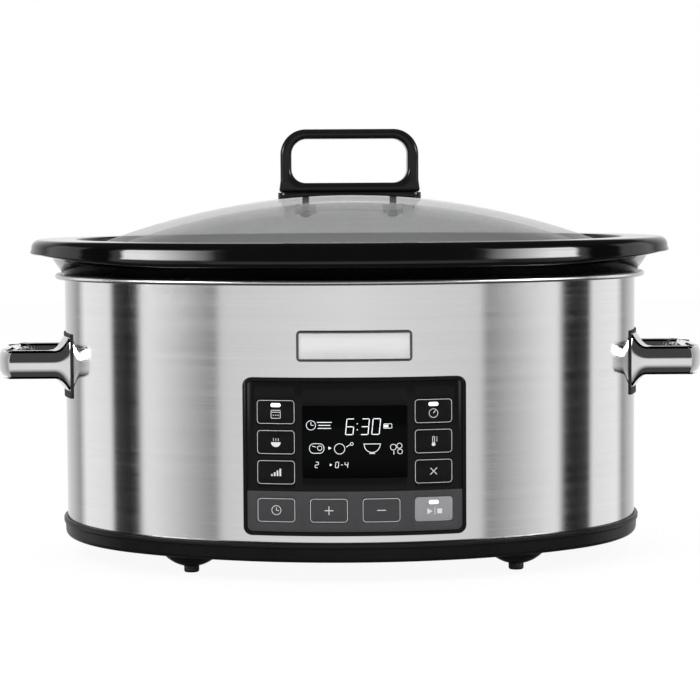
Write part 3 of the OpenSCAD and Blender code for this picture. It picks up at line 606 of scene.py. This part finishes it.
badgeFrame = 1.35 * mm
badgeMid = (badgeLow.z + badgeHigh.z) / 2
badgeX = (badgeHigh.x - badgeLow.x) / 2 - badgeFrame
badgeZ = (badgeHigh.z - badgeLow.z) / 2 - badgeFrame
repaint("panel_fascia_finished", bandGrey, lambda face: face.center.z < bandTop)
repaint("badge_plate_finished", darkChrome,
        lambda face: abs(face.center.x) > badgeX or abs(face.center.z - badgeMid) > badgeZ)
for node, slot in keySlots.items():
    place(softCopy(node, 0.2 * mm), node, slot, node)
for node, body in lampBodies.items():
    place(softCopy(node, 0.12 * mm), body, "lamp_white", node)
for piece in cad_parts.values():        # the rest keep their CAD shape and get their finish
    slotName = piece.data.materials[0].name.split(".")[0] if piece.data.materials else ""
    for holder in piece.material_slots:
        if slotName in finishes:
            holder.material = finishes[slotName]
print("pieces finished from their CAD shapes:", len(softened) + len(keySlots) + len(lampBodies))


# Marks on the panel are thin raised ink, made flat and then wrapped round the front.
def flatPose(x, z, turn=0, w=1, h=1):
    return (Matrix.Translation((x * mm, 0, z * mm)) @ Matrix.Rotation(math.radians(turn), 4, "Y")
            @ Matrix.Rotation(math.pi / 2, 4, "X") @ Matrix.Diagonal((w * mm, h * mm, 1, 1)))


def disc(bm, x, z, r, count=20, turn=0):
    bmesh.ops.create_circle(bm, cap_ends=True, radius=r, segments=count, matrix=flatPose(x, z, turn))


def hoop(bm, x, z, r, line, count=24):
    edges = []
    for radius in (r, r - line):
        made = bmesh.ops.create_circle(bm, cap_ends=False, radius=radius, segments=count, matrix=flatPose(x, z))
        edges += list({e for v in made["verts"] for e in v.link_edges})
    bmesh.ops.bridge_loops(bm, edges=edges)


def keepBelow(bm, verts, z):        # cuts away what these points carry above z
    geom = verts + list({e for v in verts for e in v.link_edges})
    geom += list({f for v in verts for f in v.link_faces})
    bmesh.ops.bisect_plane(bm, geom=geom, dist=mergeGap, plane_co=(0, 0, z * mm), plane_no=(0, 0, 1),
                           clear_outer=True)


def halfHoop(bm, x, z, r, line):        # the lower half of a hoop
    old = set(bm.verts)
    hoop(bm, x, z, r, line, 32)
    made = [v for v in bm.verts if v not in old]
    keepBelow(bm, made, z)


def bar(bm, x, z, w, h, turn=0):
    bmesh.ops.create_grid(bm, x_segments=1, y_segments=1, size=0.5, matrix=flatPose(x, z, turn, w, h))


def outline(bm, x, z, w, h, radius, line):
    outer = roundedLoop(bm, x * mm, z * mm, w * mm, h * mm, radius * mm)
    inner = roundedLoop(bm, x * mm, z * mm, (w - 2 * line) * mm, (h - 2 * line) * mm, (radius - line) * mm)
    bmesh.ops.bridge_loops(bm, edges=outer + inner)


# The bars of each digit, by the letters that such displays use.
segmentsOf = {0: "abcdef", 2: "abged", 3: "abgcd", 4: "fgbc", 6: "afgedc"}


def digit(bm, number, x, z, w, h, line):        # seven slanted bars
    old = set(bm.verts)
    spots = {"a": (0, h / 2, 1), "g": (0, 0, 1), "d": (0, -h / 2, 1), "b": (w / 2, h / 4, 0),
             "c": (w / 2, -h / 4, 0), "f": (-w / 2, h / 4, 0), "e": (-w / 2, -h / 4, 0)}
    for letter in segmentsOf[number]:
        dx, dz, flat = spots[letter]
        size = (w - 1.3 * line, line) if flat else (line, h / 2 - 0.5 * line)
        bar(bm, x + dx, z + dz, *size)
    for vert in bm.verts:
        if vert not in old:
            vert.co.x += 0.1 * (vert.co.z - z * mm)


def drawCalendar(bm, x, z):
    outline(bm, x, z, 5.2, 4.6, 0.6, 0.3)
    bar(bm, x, z + 1.1, 4.2, 0.35)
    for i in (-1, 0, 1):
        bar(bm, x + 1.25 * i, z - 0.5, 0.55, 0.55)


def drawBowl(bm, x, z):
    made = bmesh.ops.create_circle(bm, cap_ends=True, radius=2.6, segments=28, matrix=flatPose(x, z))
    keepBelow(bm, made["verts"], z)
    for i in (-1, 0, 1):
        bar(bm, x + 1.3 * i, z + 1.4, 0.3, 1.5)


def drawBars(bm, x, z):
    for i in range(4):
        bar(bm, x - 2.25 + 1.5 * i, z - 2 + 0.5 * (1 + i), 0.9, 1 + i)


def drawDial(bm, x, z):
    hoop(bm, x, z, 2.5, 0.3)
    bar(bm, x + 0.55, z + 0.75, 0.35, 2, 36)


def drawThermometer(bm, x, z):
    disc(bm, x, z - 1.7, 1)
    outline(bm, x, z + 0.75, 1.3, 3.6, 0.6, 0.3)
    for i in range(3):
        bar(bm, x + 1.7, z + 2 - i, 0.9, 0.28)


def drawCross(bm, x, z):
    bar(bm, x, z, 5, 0.4, 45)
    for side in (-1, 1):
        bar(bm, x + side * 1.05, z + side * 1.05, 0.4, 2.3, -135)


def drawClock(bm, x, z):
    hoop(bm, x, z, 2.6, 0.3)
    bar(bm, x, z + 0.75, 0.32, 1.5)
    bar(bm, x + 0.7, z - 0.15, 1.4, 0.32)


def drawPlus(bm, x, z):
    bar(bm, x, z, 4.6, 0.42)
    for side in (-1, 1):
        bar(bm, x, z + side * 1.26, 0.42, 2.08)


def drawMinus(bm, x, z):
    bar(bm, x, z, 4.6, 0.42)


def drawPlayStop(bm, x, z):
    bmesh.ops.create_circle(bm, cap_ends=True, radius=1.9, segments=3, matrix=flatPose(x - 2.6, z, 90))
    bar(bm, x + 0.6, z, 0.3, 4)
    bar(bm, x + 3.2, z, 2.6, 2.6)


keyMarks = {"key_schedule": drawCalendar, "key_food": drawBowl, "key_amount": drawBars, "key_manual": drawDial,
            "key_temperature": drawThermometer, "key_cancel": drawCross, "key_clock": drawClock,
            "key_hour": drawPlus, "key_minute": drawMinus, "key_start": drawPlayStop}
markSizes = {"outlineW": 20, "outlineH": 12.6, "radius": 1.8, "line": 0.22, "keyTop": 1.1, "windowTop": 0.9,
             "ink": 0.04, "sink": 0.02, "lampDrop": 1.2}


def finishMarks(bm, name, body, top, material):
    wrapSlab(bm, (top - markSizes["sink"]) * mm, (top + markSizes["ink"]) * mm)
    piece = place(finishMesh(bm, name, 30), body, "lamp_white")
    piece.data.materials[0] = material


def buildKeyMarks(p):
    for node, draw in keyMarks.items():
        low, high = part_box(node)
        x, z = (low.x + high.x) / 2 / mm, (low.z + high.z) / 2 / mm
        bm = bmesh.new()
        if node != "key_start":
            outline(bm, x, z, p["outlineW"], p["outlineH"], p["radius"], p["line"])
        draw(bm, x, z - (p["lampDrop"] if node in lampBodies.values() else 0))
        finishMarks(bm, node + "_mark", node, p["keyTop"], inkWithPaintedGlow)


def buildDisplayMarks(p):
    z = (windowLow.z + windowHigh.z) / 2 / mm
    timeRow, scaleRow = z + 8.2, z - 12.2
    bm = bmesh.new()
    for number, across in ((6, -2.6), (3, 5.4), (0, 11.4)):
        digit(bm, number, across, timeRow, 4, 8.4, 0.42)
    for dz in (1.6, -1.6):
        bar(bm, 1.3, timeRow + dz, 0.5, 0.5)
    outline(bm, 17.6, z + 8.4, 4.6, 2.6, 0.5, 0.24)        # charge symbol
    bar(bm, 16.8, z + 8.4, 2.2, 1.4)
    hoop(bm, -23.4, z + 9, 2.6, 0.24)        # clock symbol
    bar(bm, -23.4, z + 9.9, 0.26, 1.6)
    bar(bm, -22.6, z + 9, 1.3, 0.26)
    for i, count in enumerate((5, 3, 4)):
        bar(bm, -16.2, z + 10.6 - 1.6 * i, 4 + 0.8 * count, 0.34)
    outline(bm, -20.4, z - 3.4, 8, 5.4, 2.4, 0.26)        # four sorts of food: a cut
    hoop(bm, -18.8, z - 3.2, 1.3, 0.24)
    bar(bm, -21.8, z - 2.4, 2.2, 0.26, 14)
    hoop(bm, -8.2, z - 3.6, 2.9, 0.26, 28)        # a bird
    bar(bm, -3.6, z - 2, 2.6, 0.28, -28)
    hoop(bm, -1.7, z - 1, 0.9, 0.24, 12)
    disc(bm, -13.6, z - 3.2, 1, 3, 90)
    halfHoop(bm, 9.2, z - 1.4, 4.4, 0.28)        # a bowl
    bar(bm, 9.2, z - 1.1, 9.4, 0.3)
    bar(bm, 9.2, z - 6.2, 3, 0.28)
    for dx, dz, radius in ((-1.9, 0.2, 1.7), (1.4, 0.9, 1.5), (1.7, -2.2, 1.4)):        # greens
        hoop(bm, 22.4 + dx, z - 3.2 + dz, radius, 0.24, 16)
    bar(bm, 20.8, z - 6, 0.3, 1.8)
    for number, across in ((2, -20.4), (0, -9.6), (4, -4.6)):
        digit(bm, number, across, scaleRow, 1.6, 3, 0.26)
    bar(bm, -7, scaleRow, 1.1, 0.26)
    disc(bm, -13, scaleRow, 0.8, 3, 90)
    finishMarks(bm, "display_marks", "base", p["windowTop"], segmentWhite)


buildKeyMarks(markSizes)
buildDisplayMarks(markSizes)
print("panel marks drawn")

# Metres, tones and, for each lamp, its place, size and power.
studio = {"floor": 3, "floorGlow": 0.93, "lampTarget": (0, 0, 0.1), "dark": 0.06, "strip": 20}
lamps = {"key_light": ((-0.9, -1, 1.3), (0.9, 0.9), 14), "fill_light": ((1.1, -0.8, 1), (0.9, 0.9), 6),
         "top_light": ((0, 0.4, 1.6), (1.2, 0.8), 10)}


def buildFloor():
    bm = bmesh.new()
    bmesh.ops.create_circle(bm, cap_ends=True, radius=studio["floor"], segments=64)
    mesh = bpy.data.meshes.new("floor")
    bm.to_mesh(mesh)
    bm.free()
    floor = bpy.data.objects.new("floor", mesh)
    bpy.context.scene.collection.objects.link(floor)
    f = newFinish("floor_paper")
    path = f.node("ShaderNodeLightPath", out="Is Camera Ray")
    mirrored = f.node("ShaderNodeLightPath", out="Is Glossy Ray")
    paper = f.node("ShaderNodeBsdfDiffuse", {}, {"Color": (0.9, 0.9, 0.9, 1)})
    glow = f.node("ShaderNodeEmission", {}, {"Color": (1, 1, 1, 1), "Strength": 1})
    clear = f.node("ShaderNodeBsdfTransparent", {}, {})
    seen = f.node("ShaderNodeMixShader", {}, {0: path * studio["floorGlow"], 1: paper, 2: glow})
    f.join(f.node("ShaderNodeMixShader", {}, {0: mirrored, 1: seen, 2: clear}), "ShaderNodeOutputMaterial")
    mesh.materials.append(f.owner)


# The studio round the cooker: tones by the angle away from the front, as shares of half a turn.
studioTones = [(0, 0.86), (0.24, 0.74), (0.252, 0.28), (0.405, 1), (0.418, 0), (0.505, 0.06), (0.53, 0.9),
               (0.68, 1), (0.73, 0.35), (0.8, 0.6), (1, 1)]


def buildWorld():
    world = bpy.data.worlds.new("studio")
    bpy.context.scene.world = world
    f = Finish(world)
    spot = f.node("ShaderNodeTexCoord", out="Generated")
    x, y, z = [f.node("ShaderNodeSeparateXYZ", {}, {0: spot}, out=axis) for axis in range(3)]
    turn = spot.maths("ARCTAN2", spot.maths("ABSOLUTE", x, 0), y * -1) / math.pi
    stops = [(position, (tone, tone, tone)) for position, tone in studioTones]
    tones = f.node("ShaderNodeValToRGB", {"stops": stops}, {"Fac": turn})
    side = f.between(turn, 0, 1, 0.2, 0.24)
    low = f.between(z, 0, 1, -0.5, -0.3)
    high = f.between(z, 1, 0, 0.03, 0.1) * (1 - side) + f.between(z, 1, 0, 0.4, 0.55) * side
    tones = f.tones(low * high, [studio["dark"]] * 3, tones)
    strip = f.between(z, 0, 1, 0.08, 0.12) * f.between(z, 1, 0, 0.26, 0.34)
    strip = strip * f.between(turn, 0, 1, 0.22, 0.34) * f.between(turn, 1, 0, 0.385, 0.395)
    tones = f.tones(strip, tones, [studio["strip"]] * 3)
    mirrored = f.node("ShaderNodeLightPath", out="Is Glossy Ray")
    shade = f.tones(mirrored, (0.9, 0.9, 0.9), tones)
    direct = spot.maths("MAXIMUM", f.node("ShaderNodeLightPath", out="Is Camera Ray"),
                        f.node("ShaderNodeLightPath", out="Is Transmission Ray"))
    shade = f.tones(direct, shade, (1, 1, 1))
    f.join(f.node("ShaderNodeBackground", {}, {"Color": shade, "Strength": 1}), "ShaderNodeOutputWorld")


def addLamp(name, spot, size, power):
    data = bpy.data.lights.new(name, "AREA")
    data.shape = "RECTANGLE"
    data.size, data.size_y = size
    data.energy = power
    lamp = bpy.data.objects.new(name, data)
    lamp.location = spot
    lamp.rotation_euler = (Vector(studio["lampTarget"]) - Vector(spot)).to_track_quat("-Z", "Y").to_euler()
    lamp.visible_camera = False
    lamp.visible_glossy = False
    bpy.context.scene.collection.objects.link(lamp)


cameraSizes = {"lens": 120.9, "sensor": 36, "spot": (-0.0234, -1.3755, 0.214), "heading": (0.0169, 0.99986),
               "down": 4.045, "roll": -0.34}


def buildCamera(p):
    data = bpy.data.cameras.new("camera")
    data.lens = p["lens"]
    data.sensor_width = p["sensor"]
    camera = bpy.data.objects.new("camera", data)
    down = math.radians(p["down"])
    aim = Vector((p["heading"][0] * math.cos(down), p["heading"][1] * math.cos(down), -math.sin(down)))
    turn = aim.to_track_quat("-Z", "Y").to_matrix() @ Matrix.Rotation(math.radians(p["roll"]), 3, "Z")
    camera.location = p["spot"]
    camera.rotation_euler = turn.to_euler()
    bpy.context.scene.collection.objects.link(camera)
    bpy.context.scene.camera = camera


buildFloor()
buildWorld()
for name, (spot, size, power) in lamps.items():
    addLamp(name, spot, size, power)
buildCamera(cameraSizes)
bpy.context.scene.view_settings.view_transform = "Standard"
print("floor, light and camera set")
